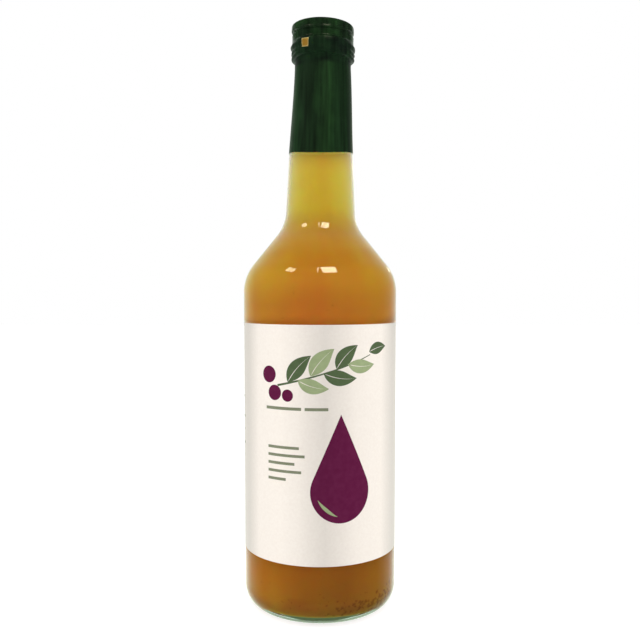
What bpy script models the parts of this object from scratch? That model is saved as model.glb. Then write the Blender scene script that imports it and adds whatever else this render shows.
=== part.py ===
"""A full half-litre glass vinegar bottle, with a wrap label and a shrink capsule over its closure.

The bottle stands on its bearing ring at z = 0 with its axis on +Z. The front, where the middle of
the label is, faces -Y. All sizes are in metres.
"""

import math

import bpy

# Sides of a turned piece, and the clearance between neighbouring pieces
SIDES = 48
GAP = 0.0003

# Glass outside: the body flares a little from heel to shoulder, and the neck tapers to the mouth.
# Each corner is the meeting point of two straight stretches, rounded by the bend given with it.
HEEL_TOP = (0.03475, 0.0092)
HEEL_WIDTH = 0.00625
SHOULDER_CORNER = (0.03505, 0.14955)
SHOULDER_BEND = 0.020
NECK_CORNER = (0.01619, 0.1730)
NECK_BEND = 0.018
NECK_TAPER = 0.049
MOUTH_HEIGHT = 0.2608
LIP_BEND = 0.0009

# Glass inside and base
WALL = 0.0029
RING_INNER = 0.0245
PUSH_UP = 0.0034
FLOOR_HEIGHT = 0.0046
FLOOR_RADIUS = 0.0260
FLOOR_RISE = 0.0028
INNER_HEEL_HEIGHT = 0.0070

# Label, and the shallow panel in the glass that holds it
LABEL_BOTTOM = 0.0265
LABEL_TOP = 0.1288
LABEL_THICKNESS = 0.00015
LABEL_SWEEP = 348
LABEL_STEPS = 58
PANEL_DEPTH = 0.00045
PANEL_MARGIN = 0.0004
PANEL_RAMP = 0.0006

# Vinegar, filled to a level that the capsule hides
LEVEL = 0.217

# Capsule: a thin skirt on the neck, and the closure that the film is shrunk over
HEM = 0.2050
FILM_PROUD = 0.0001
FILM_THICKNESS = 0.00025
CAPSULE_TOP = 0.2635
TOP_EDGE_BEND = 0.0016
RIM_RADIUS = 0.01425
RIM_BOTTOM = 0.2606
GROOVE = (0.01400, 0.2600)
WAIST = (0.01408, 0.2565)
BAND_TOP = (0.01430, 0.2547)
BAND_CREST = (0.01480, 0.2530)
BAND_HOLLOW = (0.01452, 0.2515)
BAND_LOW_CREST = (0.01462, 0.2500)
BAND_LIP = (0.01420, 0.2482)
BAND_UNDER = (0.01340, 0.2472)
SKIRT_TOP_HEIGHT = 0.2450

# Gold foil mark on the band, to the left of the front
FOIL_WIDTH = 0.0041
FOIL_BOTTOM = 0.2504
FOIL_TOP = 0.2551
FOIL_ANGLE = 31
FOIL_THICKNESS = 0.00015
FOIL_STEPS = 4

FRONT = -90


def between(start, end, share):
    """The point at this share of the way from start to end."""
    return tuple(a + (b - a) * share for a, b in zip(start, end))


def rounded(before, corner, after, radius, steps):
    """Points of the arc that rounds the corner between two straight stretches."""
    ways = []
    for far in (before, after):
        length = math.dist(corner, far)
        ways.append(((far[0] - corner[0]) / length, (far[1] - corner[1]) / length))
    angle = math.acos(ways[0][0] * ways[1][0] + ways[0][1] * ways[1][1])
    tangent = radius / math.tan(angle / 2)
    start, end = [(corner[0] + x * tangent, corner[1] + z * tangent) for x, z in ways]
    middle = between(start, end, 0.5)
    reach = radius / math.sin(angle / 2) / math.dist(corner, middle)
    centre = between(corner, middle, reach)
    first = math.atan2(start[1] - centre[1], start[0] - centre[0])
    last = math.atan2(end[1] - centre[1], end[0] - centre[0])
    turn = math.remainder(last - first, math.tau)
    angles = [first + turn * i / steps for i in range(steps + 1)]
    return [(centre[0] + radius * math.cos(a), centre[1] + radius * math.sin(a)) for a in angles]


def quarter(centre, width, height, start, steps):
    """Points on a quarter of an ellipse, clockwise from the start angle in degrees."""
    angles = [math.radians(start - 90 * i / steps) for i in range(steps + 1)]
    return [(centre[0] + width * math.cos(a), centre[1] + height * math.sin(a)) for a in angles]


def swell(radius, height, rise, steps):
    """A gentle rise towards the axis, from the radius in to the axis, as a cosine."""
    radii = [radius * (1 - i / steps) for i in range(steps + 1)]
    return [(r, height + rise * (1 + math.cos(math.pi * r / radius)) / 2) for r in radii]


def inset(outline, depth):
    """The outline moved square to itself, away from its outer side, which it runs down."""
    moved = []
    for i, (x, z) in enumerate(outline):
        x0, z0 = outline[max(i - 1, 0)]
        x1, z1 = outline[min(i + 1, len(outline) - 1)]
        length = math.dist((x0, z0), (x1, z1))
        moved.append((x + (z1 - z0) / length * depth, z - (x1 - x0) / length * depth))
    return moved


def neck_radius(height):
    return NECK_CORNER[0] - NECK_TAPER * (height - NECK_CORNER[1])


def body_radius(height):
    share = (height - HEEL_TOP[1]) / (SHOULDER_CORNER[1] - HEEL_TOP[1])
    return HEEL_TOP[0] + (SHOULDER_CORNER[0] - HEEL_TOP[0]) * share


def on_neck(height, depth):
    return (neck_radius(height) - depth, height)


def on_body(height, depth):
    return (body_radius(height) - depth, height)


def shoulder():
    """The glass from the foot of the neck to the top of the body, down its outer side."""
    neck = on_neck(HEM, 0)
    upper = rounded(neck, NECK_CORNER, SHOULDER_CORNER, NECK_BEND, 7)
    lower = rounded(NECK_CORNER, SHOULDER_CORNER, HEEL_TOP, SHOULDER_BEND, 8)
    return upper + lower


def glass_inside():
    """The inner face of the glass, from the mouth down to the middle of the floor."""
    wall = inset([on_neck(MOUTH_HEIGHT, 0), on_neck(LEVEL, 0)] + shoulder(), WALL)
    heel_centre = (FLOOR_RADIUS, FLOOR_HEIGHT + INNER_HEEL_HEIGHT)
    heel_width = body_radius(heel_centre[1]) - WALL - FLOOR_RADIUS
    heel = quarter(heel_centre, heel_width, INNER_HEEL_HEIGHT, 0, 6)
    return wall + heel + swell(FLOOR_RADIUS, FLOOR_HEIGHT, FLOOR_RISE, 5)[1:]


def glass_outside():
    """The outer face of the glass, from the lip down to the middle of the push-up."""
    film_depth = FILM_THICKNESS - FILM_PROUD + GAP
    ledge = HEM - GAP
    panel_top = LABEL_TOP + PANEL_MARGIN
    panel_bottom = LABEL_BOTTOM - PANEL_MARGIN
    lip = on_neck(MOUTH_HEIGHT, film_depth)
    mouth = (lip[0] - WALL / 2, MOUTH_HEIGHT)
    neck = rounded(mouth, lip, on_neck(HEM, film_depth), LIP_BEND, 3)
    neck += [on_neck(ledge, film_depth), on_neck(ledge, 0)]
    panel = [
        on_body(panel_top + PANEL_RAMP, 0),
        on_body(panel_top, PANEL_DEPTH),
        on_body(panel_bottom, PANEL_DEPTH),
        on_body(panel_bottom - PANEL_RAMP, 0),
    ]
    heel_centre = (HEEL_TOP[0] - HEEL_WIDTH, HEEL_TOP[1])
    heel = quarter(heel_centre, HEEL_WIDTH, HEEL_TOP[1], 0, 7)
    return neck + shoulder() + panel + heel + swell(RING_INNER, 0, PUSH_UP, 4)


def capsule_outside():
    """The capsule's outer face, from the middle of its top down to the hem."""
    top_edge_centre = (RIM_RADIUS - TOP_EDGE_BEND, CAPSULE_TOP - TOP_EDGE_BEND)
    top_edge = quarter(top_edge_centre, TOP_EDGE_BEND, TOP_EDGE_BEND, 90, 4)
    rim = [(RIM_RADIUS, RIM_BOTTOM), GROOVE, (RIM_RADIUS, 2 * GROOVE[1] - RIM_BOTTOM), WAIST]
    band = [BAND_TOP, BAND_CREST, BAND_HOLLOW, BAND_LOW_CREST, BAND_LIP, BAND_UNDER]
    skirt = [on_neck(SKIRT_TOP_HEIGHT, -FILM_PROUD), on_neck(HEM, -FILM_PROUD)]
    return [(0, CAPSULE_TOP)] + top_edge + rim + band + skirt


def capsule_inside():
    """The capsule's inner face, from the hem up to the middle, just above the glass mouth."""
    depth = FILM_THICKNESS - FILM_PROUD
    ceiling = MOUTH_HEIGHT + GAP
    return [on_neck(HEM, depth), on_neck(ceiling, depth), (0, ceiling)]


def finish(name, colour, roughness, metallic=0.0, transmission=0.0):
    """A plain Principled material."""
    material = bpy.data.materials.new(name)
    material.use_nodes = True
    shader = material.node_tree.nodes["Principled BSDF"]
    shader.inputs["Base Color"].default_value = (*colour, 1)
    shader.inputs["Roughness"].default_value = roughness
    shader.inputs["Metallic"].default_value = metallic
    shader.inputs["Transmission Weight"].default_value = transmission
    material.diffuse_color = (*colour, 1)
    return material


def swept(name, outline, material, collection, sweep=360, steps=SIDES):
    """An object whose outline of (radius, height) points is swept round the axis by a Screw."""
    mesh = bpy.data.meshes.new(name)
    edges = [(i, i + 1) for i in range(len(outline) - 1)]
    mesh.from_pydata([(x, 0, z) for x, z in outline], edges, [])
    obj = bpy.data.objects.new(name, mesh)
    collection.objects.link(obj)
    mesh.materials.append(material)
    screw = obj.modifiers.new("Sweep", "SCREW")
    screw.angle = math.radians(sweep)
    screw.steps = steps
    screw.render_steps = steps
    screw.use_merge_vertices = sweep == 360
    screw.merge_threshold = 0.00001
    screw.use_smooth_shade = True
    return obj


def wrapped(name, outline, material, collection, sweep, steps, middle, thickness):
    """A thin sheet bent round the axis. The outline runs down its outer face, and middle is
    the direction that the middle of the sheet faces, in degrees."""
    obj = swept(name, outline, material, collection, sweep, steps)
    obj.rotation_euler.z = math.radians(middle - sweep / 2)
    sheet = obj.modifiers.new("Sheet", "SOLIDIFY")
    sheet.thickness = thickness
    sheet.offset = -1
    sheet.use_even_offset = True
    return obj


for old in list(bpy.data.objects):
    bpy.data.objects.remove(old, do_unlink=True)

vinegar_bottle = bpy.data.collections.new("vinegar_bottle")
bpy.context.scene.collection.children.link(vinegar_bottle)

# Bottle: one glass shell from the mouth to the base
clear_glass = finish("clear_glass", (0.80, 0.88, 0.82), 0.04, transmission=0.95)
inside = glass_inside()
swept("bottle", inside[::-1] + glass_outside(), clear_glass, vinegar_bottle)

# Vinegar: fills the glass to the level
cloudy_vinegar = finish("cloudy_vinegar", (0.42, 0.17, 0.03), 0.12)
filled = inset([point for point in inside if point[1] <= LEVEL], GAP)
surface = [(0, LEVEL), (neck_radius(LEVEL) - WALL - GAP, LEVEL)]
floor_middle = (0, FLOOR_HEIGHT + FLOOR_RISE + GAP)
swept("vinegar", surface + filled[1:-1] + [floor_middle], cloudy_vinegar, vinegar_bottle)

# Capsule: closure and shrunk film as one cover over the mouth and neck
green_film = finish("green_film", (0.018, 0.045, 0.020), 0.38)
swept("capsule", capsule_outside() + capsule_inside(), green_film, vinegar_bottle)

# Label: one paper sheet wrapped round the body, with its open seam at the back
cream_paper = finish("cream_paper", (0.80, 0.74, 0.68), 0.55)
label_face = [on_body(LABEL_TOP, 0), on_body(LABEL_BOTTOM, 0)]
wrapped(
    "label", label_face, cream_paper, vinegar_bottle, LABEL_SWEEP, LABEL_STEPS, FRONT, LABEL_THICKNESS
)

# Foil mark: a small gold patch that follows the capsule's band
gold_foil = finish("gold_foil", (0.55, 0.33, 0.08), 0.35, metallic=0.8)
foil_lift = GAP + FOIL_THICKNESS
foil_heights = (FOIL_TOP, BAND_CREST[1], BAND_HOLLOW[1], FOIL_BOTTOM)
foil_radii = (BAND_TOP[0], BAND_CREST[0], BAND_HOLLOW[0], BAND_LOW_CREST[0])
foil_face = [(radius + foil_lift, height) for radius, height in zip(foil_radii, foil_heights)]
foil_sweep = math.degrees(FOIL_WIDTH / BAND_CREST[0])
wrapped(
    "foil_mark", foil_face, gold_foil, vinegar_bottle, foil_sweep, FOIL_STEPS, FRONT - FOIL_ANGLE,
    FOIL_THICKNESS,
)
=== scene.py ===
"""The looks of a full glass vinegar bottle: glass, vinegar, capsule, label and print."""

import math

import bmesh
import bpy
import numpy as np
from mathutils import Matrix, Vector, noise


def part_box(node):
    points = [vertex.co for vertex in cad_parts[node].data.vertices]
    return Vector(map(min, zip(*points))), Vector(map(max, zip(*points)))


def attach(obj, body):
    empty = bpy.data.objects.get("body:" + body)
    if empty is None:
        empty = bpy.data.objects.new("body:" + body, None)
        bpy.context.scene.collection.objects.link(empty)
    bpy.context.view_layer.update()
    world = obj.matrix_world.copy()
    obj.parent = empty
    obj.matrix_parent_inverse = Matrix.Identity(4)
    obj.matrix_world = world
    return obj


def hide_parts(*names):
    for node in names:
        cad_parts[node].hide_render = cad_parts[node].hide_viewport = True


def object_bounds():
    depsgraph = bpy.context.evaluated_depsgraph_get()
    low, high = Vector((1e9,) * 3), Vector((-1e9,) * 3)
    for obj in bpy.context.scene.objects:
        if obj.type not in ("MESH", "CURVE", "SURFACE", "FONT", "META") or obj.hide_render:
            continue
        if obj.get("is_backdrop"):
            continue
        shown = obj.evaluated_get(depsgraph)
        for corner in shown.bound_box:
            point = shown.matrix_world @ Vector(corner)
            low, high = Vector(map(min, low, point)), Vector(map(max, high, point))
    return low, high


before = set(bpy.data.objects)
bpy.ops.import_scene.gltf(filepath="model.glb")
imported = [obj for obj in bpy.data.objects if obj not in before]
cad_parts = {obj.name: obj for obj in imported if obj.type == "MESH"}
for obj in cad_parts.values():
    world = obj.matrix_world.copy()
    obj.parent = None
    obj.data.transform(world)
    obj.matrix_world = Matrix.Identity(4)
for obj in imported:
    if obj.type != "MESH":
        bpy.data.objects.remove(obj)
cad_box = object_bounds()
scene = bpy.context.scene

# Camera. A level studio view from a little above the middle of the bottle, close enough that
# the foot of the label curves down and the top of the capsule curves up.
CAMERA_DISTANCE = 0.350
CAMERA_HEIGHT = 0.1417
CAMERA_PITCH = 1.97
CAMERA_LENS = 42.525
camera_data = bpy.data.cameras.new("camera")
camera_data.lens = CAMERA_LENS
camera_data.sensor_width = 36
camera_data.clip_start = 0.01
camera = bpy.data.objects.new("camera", camera_data)
camera.location = (0, -CAMERA_DISTANCE, CAMERA_HEIGHT)
camera.rotation_euler = (math.radians(90 - CAMERA_PITCH), 0, 0)
scene.collection.objects.link(camera)
scene.camera = camera

# Glass bottle. One piece of pressed and blown flint glass with a faint green cast in the thick
# base. It is turned on the bottle's axis: up the inner wall, over the lip, down the outside.
GLASS_SIDES = 192
WALL = 0.0029
HEEL_TOP = (0.03475, 0.0092)
HEEL_WIDTH = 0.00625
SHOULDER_CORNER = (0.03505, 0.14955)
SHOULDER_BEND = 0.020
NECK_CORNER = (0.01619, 0.1730)
NECK_BEND = 0.018
NECK_TAPER = 0.049
MOUTH_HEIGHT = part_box("bottle")[1].z
LIP_BEND = 0.0009
RING_INNER = 0.0245
PUSH_UP = 0.0034
FLOOR_HEIGHT = 0.0036
FLOOR_RADIUS = 0.0260
FLOOR_RISE = 0.0028
INNER_HEEL_HEIGHT = 0.0070
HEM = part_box("capsule")[0].z
NECK_RECESS = 0.00045
RECESS_START = HEM + 0.0030
PAPER_THICKNESS = 0.0001
PANEL_DEPTH = PAPER_THICKNESS + 0.00002
LABEL_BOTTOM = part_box("label")[0].z
LABEL_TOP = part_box("label")[1].z
PANEL_MARGIN = 0.0003
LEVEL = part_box("vinegar")[1].z
LEAN_FOOT = 0.00040
LEAN_TOP = 0.00090
GREEN_BASE_HEIGHT = 0.012
SHOWN_HEIGHT = 0.22


def between(start, end, share):
    return tuple(a + (b - a) * share for a, b in zip(start, end))


def rounded(before, corner, after, radius, steps):
    """Points of the arc that rounds the corner between two straight stretches."""
    ways = []
    for far in (before, after):
        length = math.dist(corner, far)
        ways.append(((far[0] - corner[0]) / length, (far[1] - corner[1]) / length))
    angle = math.acos(ways[0][0] * ways[1][0] + ways[0][1] * ways[1][1])
    tangent = radius / math.tan(angle / 2)
    start, end = [(corner[0] + x * tangent, corner[1] + z * tangent) for x, z in ways]
    middle = between(start, end, 0.5)
    reach = radius / math.sin(angle / 2) / math.dist(corner, middle)
    centre = between(corner, middle, reach)
    first = math.atan2(start[1] - centre[1], start[0] - centre[0])
    last = math.atan2(end[1] - centre[1], end[0] - centre[0])
    turn = math.remainder(last - first, math.tau)
    angles = [first + turn * i / steps for i in range(steps + 1)]
    return [(centre[0] + radius * math.cos(a), centre[1] + radius * math.sin(a)) for a in angles]


def quarter(centre, width, height, start, steps):
    """Points on a quarter of an ellipse, clockwise from the start angle in degrees."""
    angles = [math.radians(start - 90 * i / steps) for i in range(steps + 1)]
    return [(centre[0] + width * math.cos(a), centre[1] + height * math.sin(a)) for a in angles]


def swell(radius, height, rise, steps):
    """A gentle rise towards the axis, from the radius in to the axis, as a cosine."""
    radii = [radius * (1 - i / steps) for i in range(steps + 1)]
    return [(r, height + rise * (1 + math.cos(math.pi * r / radius)) / 2) for r in radii]


def inset(outline, depth):
    """The outline moved square to itself, away from its outer side, which it runs down."""
    moved = []
    for i, (x, z) in enumerate(outline):
        x0, z0 = outline[max(i - 1, 0)]
        x1, z1 = outline[min(i + 1, len(outline) - 1)]
        length = math.dist((x0, z0), (x1, z1))
        moved.append((x + (z1 - z0) / length * depth, z - (x1 - x0) / length * depth))
    return moved


def on_neck(height, depth=0.0):
    return (NECK_CORNER[0] - NECK_TAPER * (height - NECK_CORNER[1]) - depth, height)


def on_body(height, depth=0.0):
    share = (height - HEEL_TOP[1]) / (SHOULDER_CORNER[1] - HEEL_TOP[1])
    return (HEEL_TOP[0] + (SHOULDER_CORNER[0] - HEEL_TOP[0]) * share - depth, height)


def shoulder():
    """The glass from the foot of the neck to the top of the body, down its outer side."""
    upper = rounded(on_neck(HEM), NECK_CORNER, SHOULDER_CORNER, NECK_BEND, 24)
    lower = rounded(NECK_CORNER, SHOULDER_CORNER, HEEL_TOP, SHOULDER_BEND, 28)
    return upper + lower


def glass_inside():
    """The inner face of the glass, from the mouth down to the middle of the floor."""
    wall = inset([on_neck(MOUTH_HEIGHT), on_neck(LEVEL)] + shoulder(), WALL)
    heel_centre = (FLOOR_RADIUS, FLOOR_HEIGHT + INNER_HEEL_HEIGHT)
    heel_width = on_body(heel_centre[1], WALL)[0] - FLOOR_RADIUS
    heel = quarter(heel_centre, heel_width, INNER_HEEL_HEIGHT, 0, 18)
    return wall + heel + swell(FLOOR_RADIUS, FLOOR_HEIGHT, FLOOR_RISE, 16)[1:]


def glass_outside():
    """The outer face of the glass, from the lip down to the middle of the push-up."""
    lip = on_neck(MOUTH_HEIGHT, NECK_RECESS)
    neck = rounded((lip[0] - WALL / 2, MOUTH_HEIGHT), lip, on_neck(HEM, NECK_RECESS), LIP_BEND, 6)
    neck += [on_neck(RECESS_START + NECK_RECESS, NECK_RECESS), on_neck(RECESS_START)]
    neck += [on_neck(RECESS_START - 0.0002), on_neck(HEM)]
    panel_top = LABEL_TOP + PANEL_MARGIN
    panel_bottom = LABEL_BOTTOM - PANEL_MARGIN
    panel = [
        on_body(panel_top + PANEL_MARGIN + 0.0002),
        on_body(panel_top + PANEL_MARGIN),
        on_body(panel_top, PANEL_DEPTH),
        on_body(panel_bottom, PANEL_DEPTH),
        on_body(panel_bottom - PANEL_MARGIN),
        on_body(panel_bottom - PANEL_MARGIN - 0.0002),
    ]
    heel = quarter((HEEL_TOP[0] - HEEL_WIDTH, HEEL_TOP[1]), HEEL_WIDTH, HEEL_TOP[1], 0, 24)
    return neck + shoulder() + panel + heel + swell(RING_INNER, 0, PUSH_UP, 16)


def ease(low, high, value):
    """From 0 to 1 as the value goes from low to high, with a smooth start and end."""
    share = min(1.0, max(0.0, (value - low) / (high - low)))
    return share * share * (3 - 2 * share)


def leaned(place):
    """The point moved to the right as the real neck leans, from the shoulder up."""
    z = place.z
    shift = LEAN_FOOT * ease(0.165, 0.192, z) + LEAN_TOP * ease(0.200, 0.242, z)
    return Vector((place.x + shift, place.y, z))


def reshape(obj, rule):
    for vertex in obj.data.vertices:
        vertex.co = rule(vertex.co)
    obj.data.update()


def node(tree, kind, settings=(), **values):
    """A new node with its settings and its inputs' values, each input named with _ for a space."""
    made = tree.nodes.new(kind)
    for name, value in dict(settings).items():
        setattr(made, name, value)
    for name, value in values.items():
        made.inputs[name.replace("_", " ")].default_value = value
    return made


def maths(tree, operation, *values):
    """A Math node's output. Each value is a number or another node's output."""
    made = node(tree, "ShaderNodeMath", {"operation": operation})
    for socket, value in zip(made.inputs, values):
        if isinstance(value, bpy.types.NodeSocket):
            tree.links.new(value, socket)
        else:
            socket.default_value = value
    return made.outputs[0]


def apart(tree, vector):
    """The X, Y and Z outputs of a vector."""
    split = tree.nodes.new("ShaderNodeSeparateXYZ")
    tree.links.new(vector, split.inputs[0])
    return split.outputs


def geometry_tree(name, inputs):
    """A new Geometry Nodes tree with these named inputs, and its group nodes."""
    tree = bpy.data.node_groups.new(name, "GeometryNodeTree")
    for title, kind in {"Geometry": "NodeSocketGeometry", **inputs}.items():
        tree.interface.new_socket(title, in_out="INPUT", socket_type=kind)
    tree.interface.new_socket("Geometry", in_out="OUTPUT", socket_type="NodeSocketGeometry")
    return tree, tree.nodes.new("NodeGroupInput"), tree.nodes.new("NodeGroupOutput")


def finish_tree(tree, shape, given, result):
    """Ends a tree with real geometry in the given material."""
    real = tree.nodes.new("GeometryNodeRealizeInstances")
    painted = tree.nodes.new("GeometryNodeSetMaterial")
    tree.links.new(shape, real.inputs[0])
    tree.links.new(real.outputs[0], painted.inputs["Geometry"])
    tree.links.new(given.outputs["Material"], painted.inputs["Material"])
    tree.links.new(painted.outputs[0], result.inputs["Geometry"])


def grown(name, mesh, tree, **values):
    """A plain mesh object: the tree's result on this mesh, with the tree's inputs by name."""
    obj = bpy.data.objects.new(name, mesh)
    scene.collection.objects.link(obj)
    modifier = obj.modifiers.new("Shape", "NODES")
    modifier.node_group = tree
    for item in tree.interface.items_tree:
        if item.in_out == "INPUT" and item.name in values:
            modifier[item.identifier] = values[item.name]
    graph = bpy.context.evaluated_depsgraph_get()
    obj.data = bpy.data.meshes.new_from_object(obj.evaluated_get(graph))
    obj.modifiers.remove(modifier)
    obj.data.name = name
    return obj


def turning_tree():
    """Turns an outline of (radius, height) points round the axis, and closes seam and poles."""
    inputs = {"Sides": "NodeSocketInt", "Material": "NodeSocketMaterial"}
    tree, given, result = geometry_tree("Turned", inputs)
    count = tree.nodes.new("GeometryNodeAttributeDomainSize")
    grid = tree.nodes.new("GeometryNodeMeshGrid")
    sample = node(tree, "GeometryNodeSampleIndex", {"data_type": "FLOAT_VECTOR"})
    place = tree.nodes.new("GeometryNodeInputPosition")
    index = tree.nodes.new("GeometryNodeInputIndex").outputs[0]
    moved = tree.nodes.new("GeometryNodeSetPosition")
    joined = node(tree, "GeometryNodeMergeByDistance", Distance=1e-6)
    smooth = tree.nodes.new("GeometryNodeSetShadeSmooth")
    spot = tree.nodes.new("ShaderNodeCombineXYZ")
    rows = count.outputs["Point Count"]
    sides = given.outputs["Sides"]
    link = tree.links.new
    link(given.outputs["Geometry"], count.inputs["Geometry"])
    link(maths(tree, "ADD", sides, 1), grid.inputs["Vertices X"])
    link(rows, grid.inputs["Vertices Y"])
    link(given.outputs["Geometry"], sample.inputs["Geometry"])
    link(place.outputs[0], sample.inputs["Value"])
    link(maths(tree, "MODULO", index, rows), sample.inputs["Index"])
    outline = apart(tree, sample.outputs[0])
    column = maths(tree, "FLOOR", maths(tree, "DIVIDE", maths(tree, "ADD", index, 0.5), rows))
    angle = maths(tree, "MULTIPLY", maths(tree, "DIVIDE", column, sides), -math.tau)
    link(maths(tree, "MULTIPLY", outline["X"], maths(tree, "COSINE", angle)), spot.inputs["X"])
    link(maths(tree, "MULTIPLY", outline["X"], maths(tree, "SINE", angle)), spot.inputs["Y"])
    link(outline["Z"], spot.inputs["Z"])
    link(grid.outputs["Mesh"], moved.inputs["Geometry"])
    link(spot.outputs[0], moved.inputs["Position"])
    link(moved.outputs[0], joined.inputs["Geometry"])
    link(joined.outputs[0], smooth.inputs["Geometry"])
    finish_tree(tree, smooth.outputs[0], given, result)
    return tree


turned = turning_tree()


def outline_mesh(name, outline):
    mesh = bpy.data.meshes.new(name)
    edges = [(i, i + 1) for i in range(len(outline) - 1)]
    mesh.from_pydata([(x, 0, z) for x, z in outline], edges, [])
    return mesh


def shader_of(name):
    """A new material, its tree and its Principled shader."""
    material = bpy.data.materials.new(name)
    material.use_nodes = True
    tree = material.node_tree
    return material, tree, tree.nodes["Principled BSDF"]


def ramp(tree, factor, *stops):
    """A Color Ramp's output, with (place, colour) stops. A plain number is a grey."""
    made = tree.nodes.new("ShaderNodeValToRGB")
    elements = made.color_ramp.elements
    while len(elements) < len(stops):
        elements.new(0.5)
    for element, (place, colour) in zip(elements, stops):
        element.position = place
        element.color = (*colour, 1) if isinstance(colour, tuple) else (colour, colour, colour, 1)
    tree.links.new(factor, made.inputs["Fac"])
    return made.outputs["Color"]


def grain(tree, places, scale, detail=2.0):
    """A Noise Texture's value at these places."""
    made = node(tree, "ShaderNodeTexNoise", Scale=scale, Detail=detail)
    tree.links.new(places, made.inputs["Vector"])
    return made.outputs["Fac"]


def mixed(tree, share, first, second, blend="MIX"):
    """A Mix node's colour. The share and the colours are values or other nodes' outputs."""
    made = node(tree, "ShaderNodeMix", {"data_type": "RGBA", "blend_type": blend})
    for index, value in ((0, share), (6, first), (7, second)):
        if isinstance(value, bpy.types.NodeSocket):
            tree.links.new(value, made.inputs[index])
        else:
            made.inputs[index].default_value = value
    return made.outputs[2]


def bump(tree, shader, height, strength, distance):
    made = node(tree, "ShaderNodeBump", Strength=strength, Distance=distance)
    tree.links.new(height, made.inputs["Height"])
    tree.links.new(made.outputs[0], shader.inputs["Normal"])


flint_glass, tree, shader = shader_of("flint_glass")
shader.inputs["Roughness"].default_value = 0.0
shader.inputs["IOR"].default_value = 1.5
shader.inputs["Transmission Weight"].default_value = 1.0
shader.inputs["Sheen Roughness"].default_value = 0.45
places = tree.nodes.new("ShaderNodeTexCoord").outputs["Object"]
height = apart(tree, places)["Z"]
base_tint = ramp(
    tree,
    maths(tree, "DIVIDE", height, GREEN_BASE_HEIGHT),
    (0.25, (0.62, 0.86, 0.72)),
    (0.75, (0.95, 0.985, 0.96)),
)
shown = maths(tree, "DIVIDE", height, SHOWN_HEIGHT)
haze = ramp(tree, shown, (0.72, 0.0), (0.82, 0.9), (0.86, 1.0))
# At the neck the glass is tinted darker where it is seen edge-on: partly the thick glass, partly
# painted shade.
facing = node(tree, "ShaderNodeLayerWeight", Blend=0.5).outputs["Facing"]
edge_tint_and_painted_shade = ramp(tree, facing, (0.40, 1.0), (0.75, (0.84, 0.88, 0.97)))
glass_tint = mixed(tree, haze, base_tint, edge_tint_and_painted_shade, "MULTIPLY")
tree.links.new(glass_tint, shader.inputs["Base Color"])
tree.links.new(haze, shader.inputs["Sheen Weight"])
bump(tree, shader, grain(tree, places, 45.0, 1.0), 0.05, 0.0004)

inside = glass_inside()
glass_outline = outline_mesh("glass_outline", inside[::-1] + glass_outside())
glass = grown("glass_bottle", glass_outline, turned, Sides=GLASS_SIDES, Material=flint_glass)
reshape(glass, leaned)
glass.data.set_sharp_from_angle(angle=math.radians(50))
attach(glass, "root")
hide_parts("bottle")

# Vinegar. Unfiltered, so it is cloudy: yellow where the neck is thin, orange-brown in the deep
# body, and browner towards the floor, where the sediment gathers. It fills the glass and reaches
# just into the wall, so that no air gap shows.
INTO_WALL = 0.00005
CLOUD_DRIFT = 0.012
BRIM_START = HEM - 0.0022
BRIM_SPAN = 0.001
HEM_CURVE = -12.9
UNDERSIDE_RADIUS = 0.0230
UNDERSIDE_HEIGHT = 0.009


def spanned(tree, value, low, high, start=0.0, end=1.0):
    """The value mapped from low and high to start and end, and held between them."""
    made = node(tree, "ShaderNodeMapRange", From_Min=low, From_Max=high, To_Min=start, To_Max=end)
    tree.links.new(value, made.inputs["Value"])
    return made.outputs[0]


def stretched(tree, places, around, along):
    """These places scaled round the bottle and along its height."""
    made = node(tree, "ShaderNodeMapping", Scale=(around, around, along))
    tree.links.new(places, made.inputs["Vector"])
    return made.outputs[0]


cloudy_vinegar, tree, shader = shader_of("cloudy_vinegar")
shader.inputs["Roughness"].default_value = 0.4
shader.inputs["IOR"].default_value = 1.33
shader.inputs["Specular IOR Level"].default_value = 0.0
shader.inputs["Subsurface Weight"].default_value = 1.0
shader.inputs["Subsurface Radius"].default_value = (0.5, 0.8, 0.4)
shader.inputs["Subsurface Scale"].default_value = 0.03
places = tree.nodes.new("ShaderNodeTexCoord").outputs["Object"]
axes = apart(tree, places)
clouds = grain(tree, places, 60.0, 3.0)
drift = maths(tree, "MULTIPLY_ADD", clouds, CLOUD_DRIFT, -CLOUD_DRIFT / 2)
# Colour by height, yellow in the neck to brown near the floor. Partly painted light: the stops near
# the label's top edge and just under the capsule are lighter, standing in against the shade that
# label and capsule cast.
depth_colour = ramp(
    tree,
    maths(tree, "DIVIDE", maths(tree, "ADD", axes["Z"], drift), SHOWN_HEIGHT),
    (0.025, (0.280, 0.085, 0.020)),
    (0.05, (0.350, 0.125, 0.020)),
    (0.12, (0.455, 0.150, 0.019)),
    (0.56, (0.640, 0.225, 0.034)),
    (0.598, (0.735, 0.275, 0.040)),
    (0.62, (0.650, 0.252, 0.036)),
    (0.66, (0.630, 0.285, 0.036)),
    (0.76, (0.635, 0.350, 0.030)),
    (0.82, (0.690, 0.530, 0.038)),
    (0.88, (0.715, 0.545, 0.042)),
    (0.92, (0.770, 0.545, 0.046)),
)
veils = grain(tree, stretched(tree, places, 70.0, 14.0), 1.0)
veil_tone = ramp(tree, veils, (0.38, (1.0, 0.93, 0.95)), (0.62, (1.0, 1.03, 1.0)))
across = maths(tree, "MULTIPLY_ADD", axes["X"], 1 / 0.07, 0.5)
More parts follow.
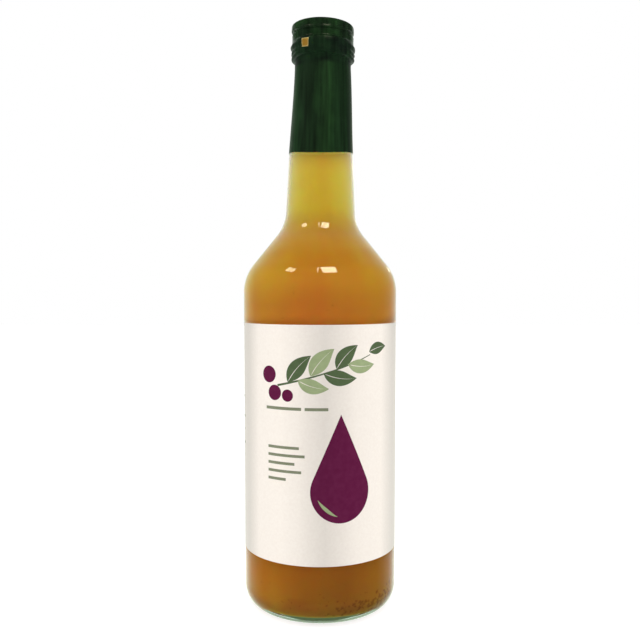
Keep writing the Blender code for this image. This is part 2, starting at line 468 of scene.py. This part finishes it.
# Painted light: the vinegar is painted paler towards its left and right sides, in the upper body
# and near the foot, most on the left near the foot.
upper_painted_light = ramp(
    tree,
    across,
    (0.03, (1.26, 1.95, 2.60)),
    (0.11, (1.05, 1.27, 1.30)),
    (0.24, (1.01, 1.10, 1.06)),
    (0.52, (0.97, 0.90, 0.93)),
    (0.94, (0.97, 1.13, 0.92)),
)
foot_painted_light = ramp(
    tree,
    across,
    (0.10, (1.65, 2.05, 1.65)),
    (0.30, (1.28, 1.52, 1.15)),
    (0.42, (1.12, 1.28, 1.02)),
    (0.56, (0.98, 1.08, 0.97)),
    (0.66, (0.94, 1.02, 1.00)),
    (0.90, (1.20, 1.50, 1.25)),
)
sides_painted_light = mixed(tree, spanned(tree, axes["Z"], 0.045, 0.014), upper_painted_light, foot_painted_light)
floorward = spanned(tree, axes["Z"], 0.017, 0.007, 0.0, 0.22)
rightward = spanned(tree, axes["X"], -0.004, 0.026, 0.25, 1.0)
gathered = maths(tree, "MULTIPLY", floorward, rightward)
specks = maths(tree, "MULTIPLY_ADD", grain(tree, places, 520.0), 0.8, gathered)
settled = ramp(tree, specks, (0.56, 1.0), (0.66, (0.66, 0.55, 0.62)))
# Painted light: a pale band in the vinegar just under the capsule's hem, curved like the hem.
curved = maths(tree, "MULTIPLY", maths(tree, "POWER", axes["X"], 2.0), HEM_CURVE)
under_hem = maths(tree, "ADD", axes["Z"], curved)
brim = maths(tree, "DIVIDE", maths(tree, "SUBTRACT", under_hem, BRIM_START), BRIM_SPAN)
brim_painted_light = ramp(tree, brim, (0.2, 1.0), (0.8, (1.20, 1.38, 2.3)))
tone = depth_colour
for shade in (veil_tone, sides_painted_light, settled, brim_painted_light):
    tone = mixed(tree, 1.0, tone, shade, "MULTIPLY")
# Painted light: the middle of the vinegar's underside is painted grey-green, standing in for the
# lit green glass base seen through it.
squares = [maths(tree, "POWER", axes[name], 2.0) for name in "XY"]
radius = maths(tree, "SQRT", maths(tree, "ADD", *squares))
inner = maths(tree, "LESS_THAN", radius, UNDERSIDE_RADIUS)
low = maths(tree, "LESS_THAN", axes["Z"], UNDERSIDE_HEIGHT)
under = maths(tree, "MULTIPLY", inner, low)
tone = mixed(tree, under, tone, (0.33, 0.37, 0.22, 1))
tree.links.new(tone, shader.inputs["Base Color"])

surface = [(0, LEVEL), (on_neck(LEVEL, WALL)[0] + INTO_WALL, LEVEL)]
filled = inset([point for point in inside if point[1] < LEVEL - 0.0005], -INTO_WALL)
floor_middle = (0, FLOOR_HEIGHT + FLOOR_RISE - INTO_WALL)
vinegar_outline = outline_mesh("vinegar_outline", surface + filled[:-1] + [floor_middle])
vinegar = grown("vinegar_fill", vinegar_outline, turned, Sides=GLASS_SIDES, Material=cloudy_vinegar)
reshape(vinegar, leaned)
vinegar.data.set_sharp_from_angle(angle=math.radians(50))
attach(vinegar, "root")
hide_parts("vinegar")

# Capsule. Dark green film shrunk with heat over the closure and down the neck. It follows the
# closure's top rim and the knurled band over its tear ring, and sits a little crooked.
FILM_SIDES = 240
FILM_PROUD = 0.0001
FILM_INNER = 0.00002
CAPSULE_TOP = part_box("capsule")[1].z - 0.00005
TOP_EDGE_BEND = 0.0009
RIM_RADIUS = 0.01415
GROOVE_DEPTH = 0.0006
BAND_CREST = 0.0148
FILM_STEP = 0.0005
HEM_WAVE = 0.0009
HEM_REACH = 0.012
TILT = 0.032
DENT = 0.0005
DENT_HEIGHTS = ((0.2603, 0.2611, 0.2618, 0.2630), (0.2550, 0.2564, 0.2580, 0.2590))
SMOOTH_BAND = 0.0146
BAND_HEIGHTS = (0.2484, 0.2492, 0.2546, 0.2562)
LIP_FLARE = 0.0009
LIP_HEIGHTS = (0.2466, 0.2474, 0.2488, 0.2500)
GROOVE_SAG = 0.0010
GROOVE_HEIGHTS = (0.2586, 0.2596, 0.2606, 0.2618)
CLOSURE_FOOT = 0.2425
CLOSURE_SPAN = 0.025


def softened(outline, times):
    """The outline with its corners cut off, each time a quarter of the way along."""
    for _ in range(times):
        cut = [outline[0]]
        for start, end in zip(outline, outline[1:]):
            cut += [between(start, end, 0.25), between(start, end, 0.75)]
        outline = cut + [outline[-1]]
    return outline


def stepped(outline, step):
    """The outline with points added, so that none lie further apart than the step."""
    points = [outline[0]]
    for start, end in zip(outline, outline[1:]):
        parts = max(1, math.ceil(math.dist(start, end) / step))
        points += [between(start, end, (i + 1) / parts) for i in range(parts)]
    return points


def film_outside():
    """The film's outer face, from the middle of the top down to the hem."""
    edge_centre = (RIM_RADIUS - TOP_EDGE_BEND, CAPSULE_TOP - TOP_EDGE_BEND)
    top = [(0, CAPSULE_TOP - 0.0004), (0.0112, CAPSULE_TOP - 0.0004), (0.0122, CAPSULE_TOP)]
    top += quarter(edge_centre, TOP_EDGE_BEND, TOP_EDGE_BEND, 90, 6)
    rim = [(RIM_RADIUS + 0.0001, 0.2612), (RIM_RADIUS + 0.0001, 0.2603)]
    rim += [(RIM_RADIUS - GROOVE_DEPTH, 0.2600), (RIM_RADIUS - GROOVE_DEPTH, 0.2595)]
    side = [(0.01408, 0.2587), (0.01394, 0.2572), (0.01390, 0.2556), (0.01410, 0.2546)]
    band = [(0.01476, 0.2537), (0.01476, 0.2527), (0.01422, 0.2519), (0.01422, 0.2514)]
    band += [(0.01448, 0.2508), (0.01448, 0.2501), (0.01412, 0.2496), (0.01414, 0.2491)]
    lip = [(0.01442, 0.2487), (0.01438, 0.2479), (0.01360, 0.2474), (0.01300, 0.2474)]
    skirt = [(0.01280, 0.2462), on_neck(0.2430, -FILM_PROUD), on_neck(HEM, -FILM_PROUD)]
    return stepped(softened(top + rim + side + band + lip + skirt, 2), FILM_STEP)


def film_inside():
    """The film's inner face, from the hem up to the middle, clear of the glass."""
    ceiling = MOUTH_HEIGHT + 0.0002
    bare = [on_neck(HEM, -FILM_INNER), on_neck(RECESS_START - 0.0002, -FILM_INNER)]
    hidden = [on_neck(RECESS_START + 0.0008, 0.0002), on_neck(ceiling, 0.0002), (0, ceiling)]
    return stepped(bare + hidden, 0.002)


def between_heights(z, start, full, fade, end):
    """1 from the full height to the fade height, and 0 below the start or above the end."""
    return ease(start, full, z) * (1 - ease(fade, end, z))


def film_shape(place):
    """Where a point of an evenly shrunk film really lies."""
    round_way = math.atan2(place.y, place.x)
    ring = Vector((math.cos(round_way), math.sin(round_way), 0))
    radius = math.hypot(place.x, place.y)
    z = place.z
    outer = ease(0.0126, 0.0131, radius)
    lip = ease(0.2455, 0.2480, z) * (1 - ease(0.2505, 0.2530, z))
    closure = ease(0.2470, 0.2500, z) * outer
    folds = noise.noise(ring * 7 + Vector((0, 0, z * 260)))
    slow = noise.noise(ring * 1.6 + Vector((0, 0, z * 60 + 7)))
    sag = noise.noise(ring * 1.3 + Vector((4, 0, 0)))
    front = math.cos(round_way + math.pi / 2)
    facing = ease(0.35, 0.90, front) * outer
    radius -= DENT * facing * sum(between_heights(z, *heights) for heights in DENT_HEIGHTS)
    evened = between_heights(z, *BAND_HEIGHTS) * ease(0.25, 0.80, front) * outer
    radius += (SMOOTH_BAND - radius) * evened * 0.8
    z += LIP_FLARE * facing * between_heights(z, *LIP_HEIGHTS)
    z -= GROOVE_SAG * facing * between_heights(place.z, *GROOVE_HEIGHTS)
    radius += closure * (0.00013 * folds + 0.00012 * slow) * (1 - ease(0.2610, 0.2625, z) * 0.7)
    z += lip * 0.0009 * sag
    z -= TILT * place.x * ease(0.2430, 0.2480, place.z)
    z = min(z, CAPSULE_TOP)
    hem = 1 - ease(HEM, HEM + HEM_REACH, place.z)
    z -= hem * (HEM_WAVE * (2 * front * front - 1) + 0.00012 * noise.noise(ring * 5))
    return leaned(Vector((radius * math.cos(round_way), radius * math.sin(round_way), z)))


green_film, tree, shader = shader_of("green_film")
shader.inputs["IOR"].default_value = 1.17
places = tree.nodes.new("ShaderNodeTexCoord").outputs["Object"]
axes = apart(tree, places)
draw_lines = grain(tree, stretched(tree, places, 620.0, 20.0), 1.0)
patches = grain(tree, places, 120.0)
wander = maths(tree, "MULTIPLY_ADD", patches, 0.22, -0.11)
across = maths(tree, "MULTIPLY_ADD", axes["X"], 1 / 0.030, 0.5)
# Painted sheen and shade: the skirt is painted in upright streaks from side to side, a broad pale
# one right of the front and a pale fringe at its left edge, darker between.
painted_sheen_streaks = ramp(
    tree,
    maths(tree, "ADD", across, wander),
    (0.05, (0.0200, 0.0420, 0.0200)),
    (0.15, (0.0085, 0.0320, 0.0090)),
    (0.26, (0.0070, 0.0200, 0.0070)),
    (0.41, (0.0068, 0.0200, 0.0070)),
    (0.56, (0.0115, 0.0400, 0.0105)),
    (0.64, (0.0115, 0.0395, 0.0105)),
    (0.72, (0.0072, 0.0255, 0.0075)),
    (0.90, (0.0048, 0.0190, 0.0052)),
)
mottled = ramp(tree, patches, (0.38, (0.0065, 0.0160, 0.0070)), (0.62, (0.0110, 0.0360, 0.0105)))
tone = mixed(tree, spanned(tree, axes["Z"], 0.2440, 0.2458), painted_sheen_streaks, mottled)
line_tone = ramp(tree, draw_lines, (0.32, 0.66), (0.68, 1.36))
up_closure = maths(tree, "SUBTRACT", axes["Z"], CLOSURE_FOOT)
up_closure = maths(tree, "DIVIDE", up_closure, CLOSURE_SPAN)
# Painted shade and light: the film is painted darker from the top of the skirt, under the lip, up
# through the band, and lighter on the closure above.
painted_shade_by_height = ramp(
    tree,
    up_closure,
    (0.05, 1.0),
    (0.12, (0.68, 0.66, 0.80)),
    (0.46, (0.68, 0.66, 0.80)),
    (0.56, (1.15, 1.05, 1.05)),
)
for shade in (line_tone, painted_shade_by_height):
    tone = mixed(tree, 1.0, tone, shade, "MULTIPLY")
tree.links.new(tone, shader.inputs["Base Color"])
roughness = ramp(tree, up_closure, (0.12, 0.42), (0.22, 0.36), (0.46, 0.34), (0.52, 0.22))
tree.links.new(roughness, shader.inputs["Roughness"])
bump(tree, shader, draw_lines, 0.07, 0.0001)

film_outline = outline_mesh("film_outline", film_outside() + film_inside())
film = grown("capsule_film", film_outline, turned, Sides=FILM_SIDES, Material=green_film)
reshape(film, film_shape)
film.data.set_sharp_from_angle(angle=math.radians(60))
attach(film, "root")
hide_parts("capsule")

# Foil mark. A small square of gold foil stuck on the film at the closure's band, on the left of
# the front. It follows the film's relief and is paler at its edges.
FOIL_WIDTH = 0.0038
FOIL_BOTTOM = 0.2508
FOIL_TOP = 0.2546
FOIL_ANGLE = 33
FOIL_LIFT = 0.00004
FOIL_NARROWING = 0.12
FOIL_SLANT = 0.0002
FOIL_CELLS = 16

foil_gold, tree, shader = shader_of("foil_gold")
shader.inputs["Metallic"].default_value = 0.4
shader.inputs["Roughness"].default_value = 0.38
spread = apart(tree, tree.nodes.new("ShaderNodeUVMap").outputs["UV"])
far = [maths(tree, "ABSOLUTE", maths(tree, "SUBTRACT", spread[name], 0.5)) for name in "XY"]
edge = maths(tree, "MAXIMUM", *far)
foil_colour = ramp(tree, edge, (0.37, (0.40, 0.205, 0.018)), (0.46, (0.56, 0.43, 0.16)))
tree.links.new(foil_colour, shader.inputs["Base Color"])

band_line = [point for point in film_outside()[::-1] if FOIL_BOTTOM - 0.001 < point[1] < 0.2585]
line_radii, line_heights = zip(*band_line)
corners = []
for row in range(FOIL_CELLS + 1):
    for column in range(FOIL_CELLS + 1):
        across = column / FOIL_CELLS - 0.5
        up = row / FOIL_CELLS
        z = FOIL_BOTTOM + (FOIL_TOP - FOIL_BOTTOM) * up - FOIL_SLANT * across
        radius = float(np.interp(z, line_heights, line_radii)) + FOIL_LIFT
        half_way = across * FOIL_WIDTH / BAND_CREST * (1 - FOIL_NARROWING * (1 - up))
        turn = math.radians(-90 - FOIL_ANGLE) + half_way
        place = Vector((radius * math.cos(turn), radius * math.sin(turn), z))
        corners.append(film_shape(place))
wide = FOIL_CELLS + 1
starts = [row * wide + column for row in range(FOIL_CELLS) for column in range(FOIL_CELLS)]
cells = [(first, first + 1, first + wide + 1, first + wide) for first in starts]
foil_mesh = bpy.data.meshes.new("foil_mark")
foil_mesh.from_pydata(corners, [], cells)
foil_mesh.materials.append(foil_gold)
foil_mesh.shade_smooth()
spread = foil_mesh.uv_layers.new(name="UVMap")
for loop in foil_mesh.loops:
    row, column = divmod(loop.vertex_index, wide)
    spread.data[loop.index].uv = (column / FOIL_CELLS, row / FOIL_CELLS)
foil = bpy.data.objects.new("foil_leaf", foil_mesh)
scene.collection.objects.link(foil)
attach(foil, "root")
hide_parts("foil_mark")

# Label. One sheet of satin coated cream paper, wrapped round the body with its ends a little
# apart at the back. Its face is flush with the glass above and below.
LABEL_SWEEP = 348
LABEL_COLUMNS = 232
LABEL_ROWS = 24

cream_paper, tree, shader = shader_of("cream_paper")
shader.inputs["Roughness"].default_value = 0.42
places = tree.nodes.new("ShaderNodeTexCoord").outputs["Object"]
fibres = grain(tree, places, 900.0)
paper_colour = ramp(tree, fibres, (0.3, (0.80, 0.735, 0.665)), (0.7, (0.83, 0.770, 0.700)))
# Painted light and shade: along the bottle's X axis the paper is painted darker in the middle and
# at both sides, lighter between, the same at front and back.
painted_label_light_and_shade = ramp(
    tree,
    maths(tree, "MULTIPLY_ADD", apart(tree, places)["X"], 1 / 0.070, 0.5),
    (0.05, 0.79),
    (0.12, 1.05),
    (0.26, 1.12),
    (0.37, 1.10),
    (0.53, 0.93),
    (0.72, 1.07),
    (0.88, 1.07),
    (0.96, 0.80),
)
shaded = mixed(tree, 1.0, paper_colour, painted_label_light_and_shade, "MULTIPLY")
tree.links.new(shaded, shader.inputs["Base Color"])
bump(tree, shader, fibres, 0.08, 0.00005)


def round_body(turn, z, depth=0.0):
    """The point on the body at this turn from the front, in radians to the right, and height."""
    radius = on_body(z, depth)[0]
    return (radius * math.sin(turn), -radius * math.cos(turn), z)


sheet = bpy.data.meshes.new("label_sheet")
turns = np.radians(np.linspace(-LABEL_SWEEP / 2, LABEL_SWEEP / 2, LABEL_COLUMNS + 1))
levels = np.linspace(LABEL_BOTTOM, LABEL_TOP, LABEL_ROWS + 1)
ring = [(z, 0.0) for z in levels] + [(z, PAPER_THICKNESS) for z in levels[::-1]]
corners = [round_body(turn, z, depth) for turn in turns for z, depth in ring]
around = len(ring)
faces = []
for column in range(LABEL_COLUMNS):
    for i in range(around):
        here = column * around + i
        above = column * around + (i + 1) % around
        faces.append((here, here + around, above + around, above))
faces.append(tuple(range(around)))
faces.append(tuple(range(LABEL_COLUMNS * around, (LABEL_COLUMNS + 1) * around))[::-1])
sheet.from_pydata(corners, [], faces)
sheet.materials.append(cream_paper)
sheet.shade_smooth()
sheet.set_sharp_from_angle(angle=math.radians(40))
label = bpy.data.objects.new("label_paper", sheet)
scene.collection.objects.link(label)
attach(label, "root")
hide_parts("label")

# Print. Flat fields of ink on the label, a thin layer that stands just proud of the paper: a
# sprig with leaves and fruit, a large drop, and plain bars in place of the small print. The
# shapes are drawn flat in millimetres, across to the right and up, and then wrapped.
MILLIMETRE = 0.001
INK_LIFT = 0.00001
STRIP = 1.4


def wrapping_tree():
    """Wraps flat shapes, with x across and z up in millimetres, round the body."""
    inputs = {"Lift": "NodeSocketFloat", "Material": "NodeSocketMaterial"}
    tree, given, result = geometry_tree("Wrapped", inputs)
    spot = tree.nodes.new("ShaderNodeCombineXYZ")
    moved = tree.nodes.new("GeometryNodeSetPosition")
    link = tree.links.new
    flat = apart(tree, tree.nodes.new("GeometryNodeInputPosition").outputs[0])
    z = maths(tree, "MULTIPLY", flat["Z"], MILLIMETRE)
    flare = (SHOULDER_CORNER[0] - HEEL_TOP[0]) / (SHOULDER_CORNER[1] - HEEL_TOP[1])
    above_heel = maths(tree, "SUBTRACT", z, HEEL_TOP[1])
    radius = maths(tree, "MULTIPLY_ADD", above_heel, flare, HEEL_TOP[0])
    turn = maths(tree, "DIVIDE", maths(tree, "MULTIPLY", flat["X"], MILLIMETRE), radius)
    radius = maths(tree, "ADD", radius, given.outputs["Lift"])
    link(maths(tree, "MULTIPLY", maths(tree, "SINE", turn), radius), spot.inputs["X"])
    back = maths(tree, "MULTIPLY", maths(tree, "COSINE", turn), -1.0)
    link(maths(tree, "MULTIPLY", back, radius), spot.inputs["Y"])
    link(z, spot.inputs["Z"])
    link(given.outputs["Geometry"], moved.inputs["Geometry"])
    link(spot.outputs[0], moved.inputs["Position"])
    finish_tree(tree, moved.outputs[0], given, result)
    return tree


wrapped = wrapping_tree()


def disc(across, up, radius, steps=40):
    turns = [math.tau * i / steps for i in range(steps)]
    return [(across + radius * math.cos(a), up + radius * math.sin(a)) for a in turns]


def bar(across, up, long, tall):
    return [(across, up), (across + long, up), (across + long, up + tall), (across, up + tall)]


def bent_line(start, turn, bend, length, steps=18):
    """Points and directions along a line that starts at an angle and bends, in degrees."""
    points = [start]
    turns = [math.radians(turn)]
    for i in range(steps):
        turns.append(math.radians(turn + bend * (i + 0.5) / steps))
        step = length / steps
        x, z = points[-1]
        points.append((x + step * math.cos(turns[-1]), z + step * math.sin(turns[-1])))
    return points, turns


def leaf(start, turn, bend, length, width, rib=0.34):
    """The two halves of a pointed leaf, with its midrib left open between them."""
    points, turns = bent_line(start, turn, bend, length)
    halves = []
    for side in (1, -1):
        inner = []
        outer = []
        for i, ((x, z), a) in enumerate(zip(points, turns)):
            share = i / (len(points) - 1)
            swelling = math.sin(math.pi * share ** 0.85)
            gap = side * rib / 2 * min(1, 6 * share) * (1 - share)
            edge = gap + side * width / 2 * swelling
            inner.append((x - gap * math.sin(a), z + gap * math.cos(a)))
            outer.append((x - edge * math.sin(a), z + edge * math.cos(a)))
        halves.append(inner + outer[-2:0:-1])
    return halves


def stalk(start, turn, bend, length, width):
    """A thin line that tapers to its end."""
    points, turns = bent_line(start, turn, bend, length)
    left = []
    right = []
    for i, ((x, z), a) in enumerate(zip(points, turns)):
        half = width / 2 * (1 - 0.6 * i / (len(points) - 1))
        left.append((x - half * math.sin(a), z + half * math.cos(a)))
        right.append((x + half * math.sin(a), z - half * math.cos(a)))
    return left + right[::-1]


def drop(across, up, radius, tip, steps=48):
    """A round drop with its tip this high above its middle."""
    meet = math.asin(radius / tip)
    turns = [meet - (math.pi + 2 * meet) * i / steps for i in range(steps + 1)]
    round_end = [(across + radius * math.cos(a), up + radius * math.sin(a)) for a in turns]
    return [(across, up + tip)] + round_end


def crescent(across, up, radius, start, end, thick, steps=24):
    """A curved stroke on a circle, pointed at both ends."""
    outer = []
    inner = []
    for i in range(steps + 1):
        a = math.radians(start + (end - start) * i / steps)
        near = radius - thick * math.sin(math.pi * i / steps)
        outer.append((across + radius * math.cos(a), up + radius * math.sin(a)))
        inner.append((across + near * math.cos(a), up + near * math.sin(a)))
    return outer + inner[-2:0:-1]


def printed(name, shapes, colour, layer=1):
    """A piece of ink in one colour from flat shapes, cut into strips and wrapped on the label."""
    ink, tree, shader = shader_of(name)
    shader.inputs["Roughness"].default_value = 0.45
    shader.inputs["IOR"].default_value = 1.2
    places = tree.nodes.new("ShaderNodeTexCoord").outputs["Object"]
    paler = tuple(value * 1.12 + 0.004 for value in colour)
    tone = ramp(tree, grain(tree, places, 420.0), (0.35, colour), (0.75, paler))
    tree.links.new(tone, shader.inputs["Base Color"])
    flat = bmesh.new()
    for shape in shapes:
        flat.faces.new([flat.verts.new((x, 0, z)) for x, z in shape])
    left = min(x for shape in shapes for x, _ in shape)
    right = max(x for shape in shapes for x, _ in shape)
    for i in range(1, math.ceil((right - left) / STRIP)):
        everything = list(flat.verts) + list(flat.edges) + list(flat.faces)
        cut = (left + i * STRIP, 0, 0)
        bmesh.ops.bisect_plane(flat, geom=everything, plane_co=cut, plane_no=(1, 0, 0))
    bmesh.ops.triangulate(flat, faces=list(flat.faces))
    for face in flat.faces:
        if face.normal.y > 0:
            face.normal_flip()
    mesh = bpy.data.meshes.new(name)
    flat.to_mesh(mesh)
    flat.free()
    piece = grown(name, mesh, wrapped, Lift=INK_LIFT * layer, Material=ink)
    piece.data.shade_smooth()
    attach(piece, "root")


DARK_GREEN = (0.078, 0.118, 0.052)
SAGE = (0.300, 0.362, 0.190)
PLUM = (0.108, 0.0045, 0.044)
GREY_GREEN = (0.20, 0.22, 0.14)
FRONT_BARS = (15, 17.5, 13, 16, 9)
SIDE_BARS = (22, 25, 20, 24, 26, 19, 25, 23, 26, 21, 24, 17)

green_shapes = [stalk((-19, 103), 12, 10, 44, 0.9)]
sage_shapes = []
for place, turn, bend, length, width, dark in (
    ((-14.0, 104.5), 62, -28, 15.5, 6.8, True),
    ((-9.5, 105.5), -32, 34, 14.0, 6.0, False),
    ((-4.0, 107.2), 64, -30, 15.5, 7.2, False),
    ((1.5, 108.5), -26, 34, 15.0, 6.4, True),
    ((7.0, 110.2), 62, -32, 14.0, 6.6, True),
    ((12.0, 112.2), -18, 32, 13.5, 5.8, False),
    ((22.5, 117.0), 24, -26, 11.0, 5.0, True),
):
    (green_shapes if dark else sage_shapes).extend(leaf(place, turn, bend, length, width))

plum_shapes = [disc(-23.5, 107.5, 3.6), disc(-20.5, 99.8, 3.3), disc(-14.2, 98.8, 2.6)]
plum_shapes.append(drop(9, 58, 13.2, 33))
sage_shapes.append(crescent(9, 58, 10.4, 196, 262, 1.5))
bars = [bar(-25, 92.6, 17, 1.3), bar(-6.5, 92.6, 10, 1.3)]
bars += [bar(-24, 76 - 3.4 * i, long, 1.2) for i, long in enumerate(FRONT_BARS)]
bars += [bar(-72, 98 - 3.0 * i, long, 1.0) for i, long in enumerate(SIDE_BARS)]
printed("print_plum", plum_shapes, PLUM)
printed("print_green", green_shapes, DARK_GREEN)
printed("print_sage", sage_shapes, SAGE, layer=2)
printed("print_small", bars, GREY_GREEN)

# Floor, light and backdrop of a white studio: bright at the sides, behind and above, dark round
# the camera, with small softboxes high in front.
bpy.ops.mesh.primitive_plane_add(size=6)
floor = bpy.context.object
floor.name = "floor"
floor_paint, tree, shader = shader_of("floor_paint")
shader.inputs["Base Color"].default_value = (0.5, 0.5, 0.5, 1)
shader.inputs["Roughness"].default_value = 0.9
shader.inputs["Emission Color"].default_value = (1, 1, 1, 1)
shader.inputs["Emission Strength"].default_value = 0.75
floor.data.materials.append(floor_paint)
floor.visible_glossy = False
floor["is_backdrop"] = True

MIRROR_TINT = (0.90, 1.0, 0.90)
THROUGH_GLASS = 1.1
SOFTBOX_COLOUR = (1.0, 0.99, 0.70)
LIGHT_DISTANCE = 1.5
LIGHT_MIDDLE = 0.165
HIGHLIGHTS = {
    "main_softbox": (20, 56, 0.47, 0.42, 0.95),
    "softbox_strip": (-4.5, 56, 0.05, 0.40, 0.60),
    "second_softbox": (-62, 49.5, 0.32, 0.24, 0.6),
    "right_glint": (155, 12, 0.09, 0.08, 0.30),
}

scene.world = bpy.data.worlds.new("studio")
scene.world.use_nodes = True
sky = scene.world.node_tree
axes = apart(sky, sky.nodes.new("ShaderNodeTexCoord").outputs["Generated"])
upright = maths(sky, "SUBTRACT", 1.0001, maths(sky, "POWER", axes["Z"], 2.0))
behind = maths(sky, "DIVIDE", axes["Y"], maths(sky, "SQRT", upright))
behind = maths(sky, "MULTIPLY_ADD", behind, 0.5, 0.5)
above = maths(sky, "MULTIPLY_ADD", axes["Z"], 0.5, 0.5)


def round_light(*stops):
    """Grey light by how many degrees off the front it comes from."""
    places = [((1 - math.cos(math.radians(turn))) / 2, value) for turn, value in stops]
    return ramp(sky, behind, *places)


def lift_light(*stops):
    """Grey light by how many degrees above the horizon it comes from."""
    places = [((1 + math.sin(math.radians(lift))) / 2, value) for lift, value in stops]
    return ramp(sky, above, *places)


sides = round_light((95, 0.02), (110, 0.15), (127, 0.36), (150, 0.8), (180, 0.9))
belt = lift_light((-22, 1.8), (-14, 1.7), (-4, 1.1), (50, 0.9), (66, 0.2))
mirrored = node(sky, "ShaderNodeVectorMath", {"operation": "MULTIPLY"})
sky.links.new(maths(sky, "MULTIPLY", sides, belt), mirrored.inputs[0])
mirrored.inputs[1].default_value = MIRROR_TINT
round_soft = round_light(
    (0, 1.1),
    (20, 0.70),
    (35, 0.07),
    (70, 0.07),
    (80, 3.1),
    (100, 3.1),
    (112, 0.14),
    (150, 0.4),
)
soft = maths(sky, "ADD", round_soft, lift_light((35, 0.0), (60, 0.7)))
through = round_light((30, THROUGH_GLASS), (90, THROUGH_GLASS * 1.1))
rays = sky.nodes.new("ShaderNodeLightPath").outputs
light = mixed(sky, rays["Is Glossy Ray"], soft, mirrored.outputs[0])
light = mixed(sky, rays["Is Transmission Ray"], light, through)
light = mixed(sky, rays["Is Camera Ray"], light, (1, 1, 1, 1))
sky.links.new(light, sky.nodes["Background"].inputs["Color"])
scene.view_settings.view_transform = "Standard"

for name, (turn, lift, wide, high, share) in HIGHLIGHTS.items():
    data = bpy.data.lights.new(name, "AREA")
    data.shape = "RECTANGLE"
    data.size = wide
    data.size_y = high
    data.energy = 16 * math.pi * wide * high * share
    data.color = SOFTBOX_COLOUR
    light = bpy.data.objects.new(name, data)
    flat = LIGHT_DISTANCE * math.cos(math.radians(lift))
    light.location = (
        flat * math.sin(math.radians(turn)),
        -flat * math.cos(math.radians(turn)),
        LIGHT_MIDDLE + LIGHT_DISTANCE * math.sin(math.radians(lift)),
    )
    light.rotation_euler = (math.radians(90 - lift), 0, math.radians(turn))
    light.visible_diffuse = False
    light.visible_transmission = False
    light.visible_camera = False
    scene.collection.objects.link(light)

corners = {"cad": cad_box, "looks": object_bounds()}
